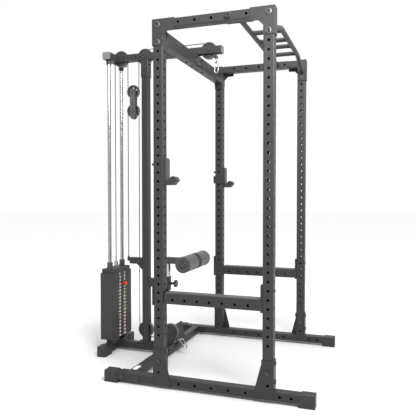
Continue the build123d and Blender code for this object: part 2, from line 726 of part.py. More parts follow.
large_pulleys = {"lat_front_pulley": (lat_pulley_y, lat_axle_z),
                 "post_top_pulley": (post_pulley_y, lat_axle_z),
                 "stack_pulley": (rear_pulley_y, lat_axle_z),
                 "post_base_pulley": (post_pulley_y, low_axle_z),
                 "row_pulley": (row_pulley_y, low_axle_z)}


def build_pulleys():
    for name, (y, z) in large_pulleys.items():
        save(name, pulley(y, z, big_groove_radius, rim_lip, pulley_width))
    save("block_upper_pulley", pulley(block_y, block_top_axle_z, block_groove_radius,
                                      block_rim_lip, block_pulley_width))
    save("block_lower_pulley", pulley(block_y, block_bottom_axle_z, block_groove_radius,
                                      block_rim_lip, block_pulley_width))


def block_plates():
    half = 21.5
    top, bottom = block_top_axle_z, block_bottom_axle_z - 60 + half
    plates = []
    for x in (-cheek_inner - cheek_thickness, cheek_inner):
        body = block((x, x + cheek_thickness), (block_y - half, block_y + half), (bottom, top))
        for z in (bottom, top):
            body += rod("X", (x, block_y, z), (x + cheek_thickness, block_y, z), half)
        cuts = [rod("X", (x - 1, block_y, z), (x + 5, block_y, z), axle_radius)
                for z in (top, block_bottom_axle_z)]
        cuts += [rod("X", (x - 1, block_y, block_bottom_axle_z + dz),
                     (x + 5, block_y, block_bottom_axle_z + dz), 3.0)
                 for dz in (54, 36, 18, -18, -36)]
        plates.append(body - cuts)
    return plates


def build_block():
    wall = cheek_inner + cheek_thickness
    axles = [bolt("X", (-wall, block_y, z), (wall, block_y, z), axle_radius, 10, 6)
             for z in (block_top_axle_z, block_bottom_axle_z)]
    save("pulley_block", *block_plates(), *axles)


def build_cables():
    r = cable_radius
    top = lat_axle_z + big_groove_radius
    over_lat = (Line((0, drop_y, lat_stop_z + lat_stop_radius), (0, drop_y, lat_axle_z))
                + arc_yz(lat_pulley_y, lat_axle_z, big_groove_radius, 180, 90)
                + Line((0, lat_pulley_y, top), (0, post_pulley_y, top))
                + arc_yz(post_pulley_y, lat_axle_z, big_groove_radius, 90, 0))
    over_stack = arc_yz(rear_pulley_y, lat_axle_z, big_groove_radius, 180, 0)
    save("lat_cable_over_beam", swept(over_lat, r), swept(over_stack, r))
    under_block = (Line((0, fall_front_y, lat_axle_z), (0, fall_front_y, block_top_axle_z))
                   + arc_yz(block_y, block_top_axle_z, block_groove_radius, -180, 0)
                   + Line((0, fall_rear_y, block_top_axle_z), (0, fall_rear_y, lat_axle_z)))
    save("lat_cable_to_block", swept(under_block, r))
    over_block = (Line((0, fall_front_y, low_axle_z), (0, fall_front_y, block_bottom_axle_z))
                  + arc_yz(block_y, block_bottom_axle_z, block_groove_radius, 180, 0)
                  + Line((0, fall_rear_y, block_bottom_axle_z), (0, fall_rear_y, anchor_z)))
    save("row_cable_to_block", swept(over_block, r))
    along_base = (arc_yz(post_pulley_y, low_axle_z, big_groove_radius, 0, -90)
                  + Line((0, post_pulley_y, low_run_z), (0, row_stop_y + row_stop_radius, low_run_z)))
    save("row_cable_along_base", swept(along_base, r))
    stack_run = Line((0, stack_y, head_top_z + 78), (0, stack_y, lat_axle_z))
    save("stack_cable", swept(stack_run, r))


# ---- cable ends ----
def eye_offset(stop_radius):
    """Distance from the middle of the stop ball to the far wire of its eye."""
    return stop_radius + 16 + eye_radius


lat_pivot_z = lat_stop_z - eye_offset(lat_stop_radius)
row_pivot_y = row_stop_y - eye_offset(row_stop_radius)


def cable_end(stop_radius):
    """Rubber stop ball, swaged ferrule and eye, hanging down from the origin."""
    ball = Sphere(stop_radius)
    ferrule = rod("Z", (0, 0, -stop_radius - 8), (0, 0, -stop_radius + 1), 5)
    eye_z = -stop_radius - 16
    eye = Pos(0, 0, eye_z) * (Rot(90, 0, 0) * Torus(eye_radius, eye_wire))
    return ball - rod("Z", (0, 0, -stop_radius), (0, 0, -stop_radius + 3), 5.0), ferrule + eye


def carabiner():
    """Snap hook in the YZ plane, hanging from an eye wire at the origin: bent body and gate."""
    r = carabiner_width / 2 - carabiner_wire
    high = hang_distance - r
    low = hang_distance - (carabiner_length - 2 * carabiner_wire) + r
    gate_low = low + 6
    gate_high = gate_low + 30
    path = (Line((0, -r, gate_high + 0.6), (0, -r, high))
            + ThreePointArc((0, -r, high), (0, 0, high + r), (0, r, high))
            + Line((0, r, high), (0, r, low))
            + ThreePointArc((0, r, low), (0, 0, low - r), (0, -r, low))
            + Line((0, -r, low), (0, -r, gate_low - 0.9)))
    gate = rod("Z", (0, -r, gate_low), (0, -r, gate_high), 3.2)
    return swept(path, carabiner_wire), gate


def build_cable_ends():
    hook, gate = carabiner()
    place = Pos(0, drop_y, lat_stop_z)
    save("lat_cable_end", *[place * piece for piece in cable_end(lat_stop_radius)])
    pivot = Pos(0, drop_y, lat_pivot_z)
    save("lat_carabiner", pivot * hook)
    save("lat_carabiner_gate", pivot * gate)
    place = Pos(0, row_stop_y, low_run_z) * Rot(-90, 0, 0)
    save("row_cable_end", *[place * piece for piece in cable_end(row_stop_radius)])
    pivot = Pos(0, row_pivot_y, low_run_z) * Rot(-row_carabiner_tilt, 0, 0)
    save("row_carabiner", pivot * hook)
    save("row_carabiner_gate", pivot * gate)


# ---- bar hooks ----
def bar_hook():
    """Right bar hook on the rear upright: steel body with its pin, and the plastic liner."""
    face = rear_y - upright_size / 2
    back = rear_y + upright_size / 2
    pin_z = grid_z(hook_pin_level)
    low = pin_z - 122
    front = face - 15
    body = block((half_x - 28, half_x + 28), (front, face - fit_gap), (low, pin_z + 35))
    arm = [(front, low), (face - 60, low), (face - 87, low + 29), (face - 72, low + 48),
           (face - 58, low + 48), (face - 29, low + 27), (front, low + 27)]
    body += plate_yz(arm, half_x - 25, half_x + 25)
    body += rod("Y", (half_x, face - fit_gap, pin_z), (half_x, back + 16, pin_z), hole_radius - 0.5)
    tip = Pos(half_x, back + 19, pin_z) * (Rot(-90, 0, 0) * Cone(hole_radius - 0.5, 4, 6))
    wrap_x = (inner_x - bracket_thickness - fit_gap, inner_x - fit_gap)
    wrap_z = (low + 32, pin_z - 31)
    body += tip
    body += block(wrap_x, (front, back + 12), wrap_z)
    body += block((wrap_x[0], half_x - 27), (front, face - 5), wrap_z)
    body += block((wrap_x[0], inner_x + 14), (back + fit_gap, back + 12), wrap_z)
    liner = [(front, low + 27), (front, pin_z + 30), (front - 6, pin_z + 30), (front - 6, low + 31),
             (face - 26, low + 31), (face - 55, low + 52), (face - 58, low + 48),
             (face - 29, low + 27)]
    return body, plate_yz(liner, half_x - 26, half_x + 26)


# ---- safety bars ----
def safety_bar():
    """Right safety bar with hook plates and pins at both ends, and its plastic top liner."""
    half = upright_size / 2
    pin_z = grid_z(safety_pin_level)
    low = safety_top_z - safety_size
    mid_z = safety_top_z - safety_size / 2
    start, end = half + 12, rear_y - half - 12
    body = tube("Y", (half_x, start, mid_z), (half_x, end, mid_z), safety_size, safety_size)
    body -= [rod("X", (inner_x - 1, rear_y / 2 + 12 + 75 * k, low + 26),
                 (outer_x + 1, rear_y / 2 + 12 + 75 * k, low + 26), hole_radius)
             for k in (-3, -2, -1, 0, 1, 2, 3)]
    body += block((inner_x, outer_x), (half + fit_gap, start), (low - 8, pin_z + 30))
    body += rod("Y", (half_x, -half - 6, pin_z), (half_x, start + 4, pin_z), hole_radius - 0.5)
    wrap = inner_x - bracket_thickness - fit_gap
    back = rear_y + half + fit_gap
    body += block((wrap, outer_x), (end, end + 5), (low, safety_top_z))
    body += block((wrap, inner_x - fit_gap), (end, back + 10), (low - 10, pin_z - 31))
    body += block((wrap, outer_x), (back, back + 10), (low - 12, pin_z + 27))
    body += rod("Y", (half_x, end + 6, pin_z), (half_x, back, pin_z), hole_radius - 0.5)
    liner = block((inner_x, outer_x), (start + 2, end - 2), (safety_top_z, safety_top_z + liner_thickness))
    return body, fillet(liner.edges().filter_by(Axis.Y).group_by(Axis.Z)[-1], 4.0)


# ---- knee hold-down ----
def knee_frame():
    """Plated upright tube that slides in the socket, the arm on its top, and the roller axle."""
    size = knee_tube_size
    arm_low = roller_z - 23
    post = tube("Z", (0, knee_y, socket_bottom_z - 18), (0, knee_y, arm_low), size, size, 2.5, 3.0)
    front = knee_y - size / 2
    post -= [rod("Y", (0, front - 1, roller_z - 48 - 25 * k), (0, front + 4, roller_z - 48 - 25 * k), 5.3)
             for k in range(7)]
    arm = tube("Y", (0, roller_y - 22, arm_low + 22.5), (0, knee_y + size / 2, arm_low + 22.5), size, 45)
    arm_back = knee_y + size / 2
    arm += block((-size / 2, size / 2), (arm_back, arm_back + 3), (arm_low, arm_low + 45))
    arm += block((-size / 2, size / 2), (roller_y - 25, roller_y - 22), (arm_low, arm_low + 45))
    reach = roller_half_length + fit_gap + 4
    arm += rod("X", (-reach, roller_y, roller_z), (reach, roller_y, roller_z), roller_axle_radius)
    for side in (-1, 1):
        arm += rod("X", (side * (reach - 4), roller_y, roller_z), (side * reach, roller_y, roller_z), 22)
    return post, arm


def foam_roller():
    """Right foam roller on its axle."""
    start, end = roller_gap / 2, roller_half_length
    body = rod("X", (start, roller_y, roller_z), (end, roller_y, roller_z), roller_radius)
    body = fillet(body.edges(), 4.0)
    return body - rod("X", (start - 1, roller_y, roller_z), (end + 1, roller_y, roller_z),
                      roller_axle_radius + fit_gap)


def socket_knob():
    """Pull knob and locking pin in the boss of the knee socket."""
    socket_front = knee_y - knee_tube_size / 2 - tube_wall - fit_gap
    z = (socket_bottom_z + socket_top_z) / 2
    boss_front = socket_front - 14
    tip = knee_y - knee_tube_size / 2 - fit_gap
    body = rod("Y", (0, boss_front - 24, z), (0, tip, z), 5.0)
    body += rod("Y", (0, boss_front - 22, z), (0, boss_front - fit_gap, z), 9.5)
    head = rod("Y", (0, boss_front - 40, z), (0, boss_front - 22, z), 26)
    return body + fillet(head.edges(), 6.0)


def build_attachments():
    for part_name, pieces in (("bar_hook", bar_hook()), ("safety_bar", safety_bar())):
        steel, liner = pieces
        save(f"right_{part_name}", steel)
        save(f"right_{part_name}_liner", liner)
        save(f"left_{part_name}", mirrored(steel))
        save(f"left_{part_name}_liner", mirrored(liner))
    save("knee_frame", *knee_frame())
    save("right_foam_roller", foam_roller())
    save("left_foam_roller", mirrored(foam_roller()))
    save("socket_knob", socket_knob())


# ---- fasteners ----
def corner_bolts():
    """Bolts with washers through the top corners; nuts lie on the inner flanges."""
    result = []
    outer = outer_x + bracket_thickness
    rear_flanges = (end_flange_thickness, end_flange_thickness)
    for y, flanges in ((0, (chin_flange_thickness, 0.0)), (rear_y, rear_flanges)):
        for level, flange in zip(corner_bolt_levels, flanges):
            z = grid_z(level)
            start = outer + washer_thickness
            inside_beam = y == rear_y and level == corner_bolt_levels[0]
            result.append(bolt("X", (start, y, z), (inner_x - flange, y, z), bolt_radius, 12,
                               nut=not inside_beam))
            result.append(ring("X", (outer, y, z), (start, y, z), 15.5, bolt_radius))
    return both_sides(result)


def foot_bolts():
    result = []
    outer = outer_x + bracket_thickness
    reach = upright_size / 2 + bracket_thickness
    for y in (0, rear_y):
        z = grid_z(0)
        result.append(bolt("X", (outer, y, z), (inner_x, y, z), bolt_radius, 12))
        for z in (grid_z(-1), grid_z(1)):
            side = -1 if y == 0 else 1
            result.append(bolt("Y", (half_x, y + side * reach, z), (half_x, y - side * reach, z),
                               bolt_radius, 12))
    return both_sides(result)


def beam_bolts():
    y = rear_y / 2 - 100
    knob = bolt("X", (outer_x, y, beam_mid_z), (inner_x - 8, y, beam_mid_z), bolt_radius, 14, 18)
    result = [knob]
    for dy in (-49, 49):
        y = base_crossbeam_y + dy
        result.append(bolt("X", (outer_x, y, rail_mid_z), (inner_x - end_flange_thickness, y, rail_mid_z),
                           bolt_radius, 12))
    return both_sides(result)


def tower_bolts():
    result = []
    lug = beam_width / 2 + 6
    result.append(bolt("X", (-lug, rear_y, lat_axle_z), (lug, rear_y, lat_axle_z), small_bolt, 9, 5))
    low = crossbeam_top_z - crossbeam_height
    for x in (-60, 60):
        for z in (low + 22, low + 58):
            result.append(bolt("Y", (x, rear_y - 36, z), (x, rear_y + 30, z), small_bolt, 9, 5))
    sleeve_half = (post_size + 2 * tube_wall + 0.6) / 2
    for drop in sleeve_bolt_drops:
        z = lat_beam_bottom - drop
        result.append(bolt("X", (-sleeve_half, post_y, z), (sleeve_half, post_y, z), small_bolt, 9, 5))
    for dy in post_bolt_offsets:
        y = post_y + dy
        result.append(bolt("Z", (0, y, rail_top + 8), (0, y, rail_top - tube_wall), small_bolt, 9, 5))
    front = base_crossbeam_y - beam_width / 2 - 5
    back = base_crossbeam_y + beam_width / 2
    for side in (-1, 1):
        for x, thick in ((base_bolt_x, 6), (bracket_bolt_x, 0)):
            result.append(bolt("Y", (side * x, front, rail_mid_z), (side * x, back + thick, rail_mid_z),
                               small_bolt, 9, 5))
    return result


def pulley_axles():
    result = []
    for name, (y, z) in large_pulleys.items():
        wall = cheek_inner + cheek_thickness if name == "row_pulley" else beam_width / 2
        result.append(bolt("X", (-wall, y, z), (wall, y, z), axle_radius, 10, 6))
        if name != "row_pulley":
            for low, high in ((-wall + tube_wall, -cheek_inner), (cheek_inner, wall - tube_wall)):
                result.append(ring("X", (low, y, z), (high, y, z), 9.5, axle_radius))
    return result


def build_bolts():
    save("frame_bolts", *corner_bolts(), *foot_bolts(), *beam_bolts(), *tower_bolts(), *pulley_axles())


build_steps = [build_cage, build_cross_members, build_tower, build_stack, build_pulleys,
               build_block, build_cables, build_cable_ends, build_attachments, build_bolts]
os.makedirs("parts", exist_ok=True)
for step in build_steps:
    step()
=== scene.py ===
import json
import math
import random
import bmesh
import bpy
from mathutils import Matrix, Vector


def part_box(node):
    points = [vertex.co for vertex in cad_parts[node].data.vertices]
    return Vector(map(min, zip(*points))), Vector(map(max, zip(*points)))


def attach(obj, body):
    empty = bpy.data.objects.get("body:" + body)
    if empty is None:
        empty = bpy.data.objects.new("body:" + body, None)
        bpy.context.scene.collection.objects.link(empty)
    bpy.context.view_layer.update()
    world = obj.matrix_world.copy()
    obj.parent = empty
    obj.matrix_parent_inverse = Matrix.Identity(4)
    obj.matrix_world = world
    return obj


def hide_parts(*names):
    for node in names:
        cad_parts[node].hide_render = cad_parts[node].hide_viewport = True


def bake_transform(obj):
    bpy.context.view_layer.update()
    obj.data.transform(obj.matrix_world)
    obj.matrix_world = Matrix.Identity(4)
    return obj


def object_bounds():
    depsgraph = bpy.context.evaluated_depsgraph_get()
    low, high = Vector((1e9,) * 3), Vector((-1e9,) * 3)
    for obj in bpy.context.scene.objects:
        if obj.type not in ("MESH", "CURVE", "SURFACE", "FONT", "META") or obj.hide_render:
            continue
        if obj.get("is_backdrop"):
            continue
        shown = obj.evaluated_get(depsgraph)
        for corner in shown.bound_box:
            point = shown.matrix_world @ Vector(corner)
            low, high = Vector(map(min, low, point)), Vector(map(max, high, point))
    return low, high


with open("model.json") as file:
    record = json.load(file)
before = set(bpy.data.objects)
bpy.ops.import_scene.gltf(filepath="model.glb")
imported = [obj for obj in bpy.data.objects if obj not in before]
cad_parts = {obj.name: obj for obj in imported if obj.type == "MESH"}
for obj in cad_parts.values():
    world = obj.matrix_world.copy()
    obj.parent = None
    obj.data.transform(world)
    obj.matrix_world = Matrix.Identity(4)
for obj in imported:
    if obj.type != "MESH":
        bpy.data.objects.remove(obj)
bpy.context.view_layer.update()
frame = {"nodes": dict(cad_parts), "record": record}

nodes = frame["nodes"]
random.seed(7)

# ---------------------------------------------------------------- places, in metres
LAT_AXLE_Z = 2.117
LOW_AXLE_Z = 0.163
BLOCK_UPPER_Z = 1.876
BLOCK_LOWER_Z = 1.740
BIG_GROOVE = 0.052
CABLE_RADIUS = 0.00275
LAT_PULLEY_Y = 0.013
ROW_PULLEY_Y = 0.301
STACK_Y = 0.737
STACK_SPLIT_Z = 1.52
ANCHOR_TOP_Z = 0.690
PLATE_PITCH = 0.025
STACK_BASE_Z = 0.100
PLATE_COUNT = 19
POUNDS_PER_KILO = 2.2046


# ---------------------------------------------------------------- camera
def add_camera():
    yaw, pitch = 0.3325, 0.0288
    forward = Vector((math.cos(yaw) * math.cos(pitch), math.sin(yaw) * math.cos(pitch),
                      -math.sin(pitch)))
    right = Vector((math.sin(yaw), -math.cos(yaw), 0))
    up = right.cross(forward)
    data = bpy.data.cameras.new("camera")
    data.sensor_width = 36
    data.lens = 43.52
    data.clip_end = 100
    camera = bpy.data.objects.new("camera", data)
    bpy.context.scene.collection.objects.link(camera)
    turn = Matrix((right, up, -forward)).transposed().to_4x4()
    camera.matrix_world = Matrix.Translation((-3.27173, -1.10896, 1.1445)) @ turn
    bpy.context.scene.camera = camera


add_camera()


# ---------------------------------------------------------------- material graphs
class Graph:
    """A Principled material and short calls for its nodes."""

    def __init__(self, name):
        self.material = bpy.data.materials.new(name)
        self.material.use_nodes = True
        self.tree = self.material.node_tree
        self.tree.nodes.clear()
        out = self.tree.nodes.new("ShaderNodeOutputMaterial")
        self.bsdf = self.tree.nodes.new("ShaderNodeBsdfPrincipled")
        self.tree.links.new(self.bsdf.outputs[0], out.inputs[0])
        self.place = self.tree.nodes.new("ShaderNodeTexCoord").outputs["Object"]

    def put(self, socket, value):
        if isinstance(value, bpy.types.NodeSocket):
            self.tree.links.new(value, socket)
        elif isinstance(value, (int, float)) or len(value) == len(socket.default_value):
            socket.default_value = value
        else:
            socket.default_value = (*value, 1)

    def node(self, kind, inputs=(), **settings):
        made = self.tree.nodes.new("ShaderNode" + kind)
        for key, value in settings.items():
            setattr(made, key, value)
        for key, value in dict(inputs).items():
            self.put(made.inputs[key], value)
        return made

    def shader(self, **values):
        for key, value in values.items():
            self.put(self.bsdf.inputs[key.replace("_", " ")], value)

    def stretch(self, scale):
        return self.node("Mapping", {"Vector": self.place, "Scale": scale}).outputs[0]

    def noise(self, scale, detail=3.0, rough=0.5, place=None):
        return self.node("TexNoise", {"Vector": place or self.place, "Scale": scale,
                                      "Detail": detail, "Roughness": rough}).outputs["Fac"]

    def cells(self, scale):
        return self.node("TexVoronoi", {"Vector": self.place, "Scale": scale}).outputs["Distance"]

    def ramp(self, value, low, high, start=0.0, end=1.0):
        return self.node("MapRange", {"Value": value, "From Min": low, "From Max": high,
                                      "To Min": start, "To Max": end}).outputs[0]

    def math(self, operation, a, b=0.0):
        made = self.node("Math", operation=operation)
        self.put(made.inputs[0], a)
        self.put(made.inputs[1], b)
        return made.outputs[0]

    def blend(self, factor, a, b):
        made = self.node("Mix", data_type="RGBA")
        for index, value in ((0, factor), (6, a), (7, b)):
            self.put(made.inputs[index], value)
        return made.outputs[2]

    def axis(self, name):
        return self.node("SeparateXYZ", {"Vector": self.place}).outputs[name]

    def rounded(self, radius):
        return self.node("Bevel", {"Radius": radius}, samples=4).outputs[0]

    def edges(self, rounded):
        """1 on edges and 0 on flat faces, from how far the rounded normal leans."""
        facing = self.node("NewGeometry").outputs["Normal"]
        lean = self.node("VectorMath", {0: rounded, 1: facing},
                         operation="DOT_PRODUCT").outputs["Value"]
        return self.ramp(self.math("SUBTRACT", 1.0, lean), 0.03, 0.25)

    def bump(self, height, depth, normal=None):
        made = self.node("Bump", {"Height": height, "Distance": depth, "Strength": 1.0})
        if normal is not None:
            self.put(made.inputs["Normal"], normal)
        return made.outputs[0]


def shade(color, factor):
    return tuple(c * factor for c in color)


def painted(name, color, rough=0.44, peel=0.00010, peel_scale=1300, edge_highlight=1.45, spread=0.10,
            edge=0.0012):
    """Powder coat: slow colour drift, orange peel, faint dust and a painted highlight on the edges."""
    g = Graph(name)
    drift = g.ramp(g.noise(3.0, 4), 0.3, 0.7)
    base = g.blend(drift, shade(color, 1 - spread), shade(color, 1 + spread))
    speckle = g.ramp(g.noise(2600, 1), 0.62, 0.75, 0, 0.25)
    base = g.blend(speckle, base, shade(color, 1.6))
    rounded = g.rounded(edge)
    # lighter edges: painted edge highlight, broken up by noise
    highlit_edges = g.math("MULTIPLY", g.edges(rounded),
                    g.ramp(g.noise(45, 4), 0.42, 0.68, 0.15, 0.8))
    base = g.blend(highlit_edges, base, shade(color, edge_highlight))
    scuffs = g.ramp(g.noise(1, 5, 0.6, g.stretch((60, 60, 14))), 0.45, 0.75)
    roughness = g.math("ADD", g.ramp(g.noise(40, 3), 0.3, 0.7, rough - 0.05, rough + 0.05),
                       g.math("MULTIPLY", scuffs, 0.05))
    g.shader(Base_Color=base, Roughness=roughness, Specular_IOR_Level=0.34,
             Normal=g.bump(g.noise(peel_scale, 2), peel, rounded))
    return g.material


def moulded(name, color, rough=0.5, grain=0.00008, scale=1800, edge=0.0010):
    """Moulded plastic or rubber: fine spark-eroded grain, painted highlight on the edges, uneven sheen.
    """
    g = Graph(name)
    drift = g.ramp(g.noise(9, 3), 0.3, 0.7)
    base = g.blend(drift, shade(color, 0.88), shade(color, 1.14))
    rounded = g.rounded(edge)
    # lighter edges: painted edge highlight, broken up by noise
    highlit_edges = g.math("MULTIPLY", g.edges(rounded), g.ramp(g.noise(90, 4), 0.4, 0.7, 0.1, 0.7))
    base = g.blend(highlit_edges, base, shade(color, 1.7))
    pits = g.math("ADD", g.cells(scale), g.math("MULTIPLY", g.noise(scale * 0.6, 2), 0.8))
    g.shader(Base_Color=base, Specular_IOR_Level=0.45, Normal=g.bump(pits, grain, rounded),
             Roughness=g.ramp(g.noise(60, 3), 0.3, 0.7, rough - 0.07, rough + 0.07))
    return g.material


def metal(name, color, rough, streak=(900, 900, 12), spread=0.1):
    """Plated or turned metal with fine draw lines and faint cloudiness."""
    g = Graph(name)
    cloud = g.ramp(g.noise(22, 4), 0.3, 0.7)
    base = g.blend(cloud, shade(color, 1 - spread), shade(color, 1))
    lines = g.noise(1, 3, 0.6, g.stretch(streak))
    base = g.blend(g.ramp(lines, 0.4, 0.7, 0, 0.25), base, shade(color, 0.72))
    g.shader(Base_Color=base, Metallic=1.0, Normal=g.bump(lines, 0.00003, g.rounded(0.0008)),
             Roughness=g.ramp(g.math("ADD", lines, cloud), 0.6, 1.4, rough * 0.75, rough * 1.35))
    return g.material


def two_part(name, axis, limit, low_look, high_look):
    """One node of two materials that meet at a plane: (color, roughness, metallic) on each side."""
    g = Graph(name)
    side = g.math("GREATER_THAN", g.axis(axis), limit)
    drift = g.ramp(g.noise(60, 4), 0.3, 0.7, 0.86, 1.12)
    flat = g.blend(side, low_look[0], high_look[0])
    base = g.node("VectorMath", {0: flat, "Scale": drift}, operation="SCALE").outputs[0]
    rough = g.math("ADD", g.math("MULTIPLY", side, high_look[1] - low_look[1]),
                   g.ramp(g.noise(120, 3), 0.3, 0.7, low_look[1] * 0.85, low_look[1] * 1.15))
    metallic = g.math("ADD", g.math("MULTIPLY", side, high_look[2] - low_look[2]), low_look[2])
    g.shader(Base_Color=base, Roughness=rough, Metallic=metallic,
             Normal=g.bump(g.noise(1500, 2), 0.00004, g.rounded(0.0008)))
    return g.material


def wheel(name, y, z, rim, bearing=0.0125):
    """Nylon pulley: turning marks round the axle, a lighter rim ring of painted highlight and a steel
    bearing in the hub.
    """
    g = Graph(name)
    split = g.node("SeparateXYZ", {"Vector": g.place}).outputs
    dy, dz = g.math("SUBTRACT", split["Y"], y), g.math("SUBTRACT", split["Z"], z)
    away = g.math("SQRT", g.math("ADD", g.math("MULTIPLY", dy, dy), g.math("MULTIPLY", dz, dz)))
    steel = g.math("LESS_THAN", away, bearing)
    seal = g.math("MULTIPLY", g.math("GREATER_THAN", away, bearing * 0.66), steel)
    rings = g.noise(1, 3, 0.5,
                    g.node("CombineXYZ", {"X": g.math("MULTIPLY", away, 2400)}).outputs[0])
    color = (0.020, 0.020, 0.021)
    base = g.blend(g.ramp(g.noise(30, 4), 0.3, 0.7), shade(color, 0.85), shade(color, 1.25))
    # lighter ring near the rim: painted highlight
    rim_highlight = g.math("MULTIPLY", g.ramp(away, rim - 0.0045, rim - 0.0010),
                  g.ramp(g.noise(55, 3), 0.3, 0.6, 0.55, 1.0))
    base = g.blend(rim_highlight, base, (0.105, 0.105, 0.108))
    base = g.blend(steel, base, (0.34, 0.345, 0.355))
    base = g.blend(seal, base, (0.03, 0.03, 0.03))
    rounded = g.rounded(0.001)
    metallic = g.math("SUBTRACT", steel, seal)
    g.shader(Base_Color=base, Metallic=metallic,
             Roughness=g.ramp(rings, 0.3, 0.7, 0.34, 0.5), Normal=g.bump(rings, 0.00006, rounded))
    return g.material


def bolt_material():
    """Dark zinc bolts with a painted highlight on their edges; the washers on the top corners are bright
    zinc.
    """
    g = Graph("zinc_bolts")
    split = g.node("SeparateXYZ", {"Vector": g.place}).outputs
    out = g.math("ABSOLUTE", split["X"])
    washer = g.math("MULTIPLY", g.math("GREATER_THAN", out, 0.6085),
                    g.math("LESS_THAN", out, 0.6121))
    washer = g.math("MULTIPLY", washer, g.math("GREATER_THAN", split["Z"], 1.98))
    cloud = g.ramp(g.noise(70, 4), 0.3, 0.7)
    dark = g.blend(cloud, (0.055, 0.055, 0.057), (0.085, 0.085, 0.088))
    bright = g.blend(cloud, (0.27, 0.275, 0.285), (0.36, 0.365, 0.375))
    rounded = g.rounded(0.0010)
    base = g.blend(washer, dark, bright)
    # lighter edges: painted edge highlight
    base = g.blend(g.math("MULTIPLY", g.edges(rounded), 0.5), base, (0.22, 0.22, 0.225))
    g.shader(Base_Color=base, Metallic=0.85, Roughness=g.ramp(g.noise(150, 3), 0.3, 0.7, 0.26, 0.42),
             Normal=g.bump(g.noise(900, 2), 0.00004, rounded))
    return g.material


def foam_material():
    """Closed-cell foam: open pores in the skin with painted shade in them, soft dents and a dull sheen.
    """
    g = Graph("closed_cell_foam")
    color = (0.036, 0.036, 0.038)
    base = g.blend(g.ramp(g.noise(14, 4), 0.3, 0.7), shade(color, 0.82), shade(color, 1.2))
    skin = g.cells(620)
    # darker pores: painted shade in the pits
    base = g.blend(g.ramp(skin, 0.0, 0.35, 0.3, 0), base, shade(color, 0.5))
    height = g.math("ADD", g.math("MULTIPLY", skin, 0.7), g.math("MULTIPLY", g.noise(160, 4), 0.9))
    g.shader(Base_Color=base, Roughness=g.ramp(g.noise(80, 3), 0.3, 0.7, 0.68, 0.82),
             Specular_IOR_Level=0.35, Sheen_Weight=0.25, Sheen_Roughness=0.4,
             Normal=g.bump(height, 0.00035))
    return g.material


def cable_material():
    """Black nylon over twisted wire strands: the strands show through as a faint lay."""
    g = Graph("coated_cable")
    color = (0.014, 0.014, 0.0145)
    base = g.blend(g.ramp(g.noise(120, 3), 0.3, 0.7), shade(color, 0.8), shade(color, 1.5))
    lay = g.node("TexWave", {"Vector": g.stretch((1, 1, 1)), "Scale": 160.0, "Distortion": 0.6,
                             "Detail": 1.0}, bands_direction="DIAGONAL").outputs["Fac"]
    g.shader(Base_Color=base, Roughness=g.ramp(g.noise(50, 3), 0.3, 0.7, 0.55, 0.68),
             Specular_IOR_Level=0.25, Normal=g.bump(lay, 0.00012))
    return g.material


CHARCOAL = (0.0185, 0.0189, 0.0197)
paint = painted("charcoal_powder_coat", CHARCOAL)
looks = {
    "charcoal_powder_coat": paint,
    "grey_end_cap": moulded("grey_end_cap", (0.105, 0.105, 0.11), 0.5),
    "black_boot": moulded("black_boot", (0.016, 0.016, 0.017), 0.5, 0.00014, 1100, 0.0018),
    "black_liner": moulded("black_liner", (0.035, 0.035, 0.037), 0.42),
    "bolt_steel": bolt_material(),
    "chrome_rod": metal("chrome_rod", (0.42, 0.42, 0.445), 0.14, spread=0.2),
    "black_cable": cable_material(),
    "zinc_hardware": metal("zinc_hardware", (0.44, 0.445, 0.46), 0.2, (500, 500, 500)),
    "stem_steel": metal("stem_steel", (0.55, 0.56, 0.58), 0.28, (500, 500, 40)),
    "foam": foam_material(),
    "dark_plates": painted("block_plate_paint", (0.060, 0.061, 0.063), 0.36),
    "black_rubber": moulded("black_rubber", (0.026, 0.026, 0.027), 0.62),
    "bushing_plastic": moulded("bushing_plastic", (0.036, 0.036, 0.037), 0.45),
    "weight_plate_paint": painted("weight_plate_paint", (0.024, 0.0245, 0.0255), 0.5, 0.00016, 700,
                                  1.5, 0.14, 0.0006),
}
# nodes whose look differs from that of their slot
steel_look = ((0.44, 0.445, 0.46), 0.22, 1.0)
stop_look = ((0.02, 0.02, 0.02), 0.5, 0.0)
by_node = {
    "pulley_block": looks["dark_plates"],
    "selector_pin": two_part("red_knob_and_pin", "Y", 0.6815, ((0.50, 0.012, 0.012), 0.22, 0.0),
                             steel_look),
    "socket_knob": two_part("black_knob_and_pin", "Y", 0.2915, ((0.028, 0.028, 0.03), 0.28, 0.0),
                            steel_look),
    "lat_cable_end": two_part("lat_stop_and_eye", "Z", 2.0555, steel_look, stop_look),
    "row_cable_end": two_part("row_stop_and_eye", "Y", 0.2475, steel_look, stop_look),
    "knee_frame": two_part("plated_post_and_arm", "Z", 0.6485, ((0.60, 0.60, 0.61), 0.16, 1.0),
                           (CHARCOAL, 0.45, 0.0)),
}
for pulley in ("lat_front_pulley", "post_top_pulley", "stack_pulley", "post_base_pulley",
               "row_pulley", "block_upper_pulley", "block_lower_pulley"):
    low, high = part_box(pulley)
    middle = (low + high) / 2
    by_node[pulley] = wheel(pulley + "_nylon", middle.y, middle.z, (high.z - low.z) / 2)

for entry in frame["record"]["subparts"]:
    node = nodes[entry["node"]]
    look = by_node.get(entry["node"]) or looks[entry["material_slot"]]
    for place in node.material_slots:
        place.link = "OBJECT"
        place.material = look


# ---------------------------------------------------------------- mesh helpers
def finish_mesh(name, bm, material, body=None, smooth=True, replaced=()):
    bmesh.ops.recalc_face_normals(bm, faces=bm.faces)
    mesh = bpy.data.meshes.new(name)
    bm.to_mesh(mesh)
    bm.free()
    if smooth:
        mesh.shade_smooth()
    mesh.materials.append(material)
    obj = bpy.data.objects.new(name, mesh)
    bpy.context.scene.collection.objects.link(obj)
    if body:
        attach(obj, body)
    if replaced:
        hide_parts(*replaced)
    return obj


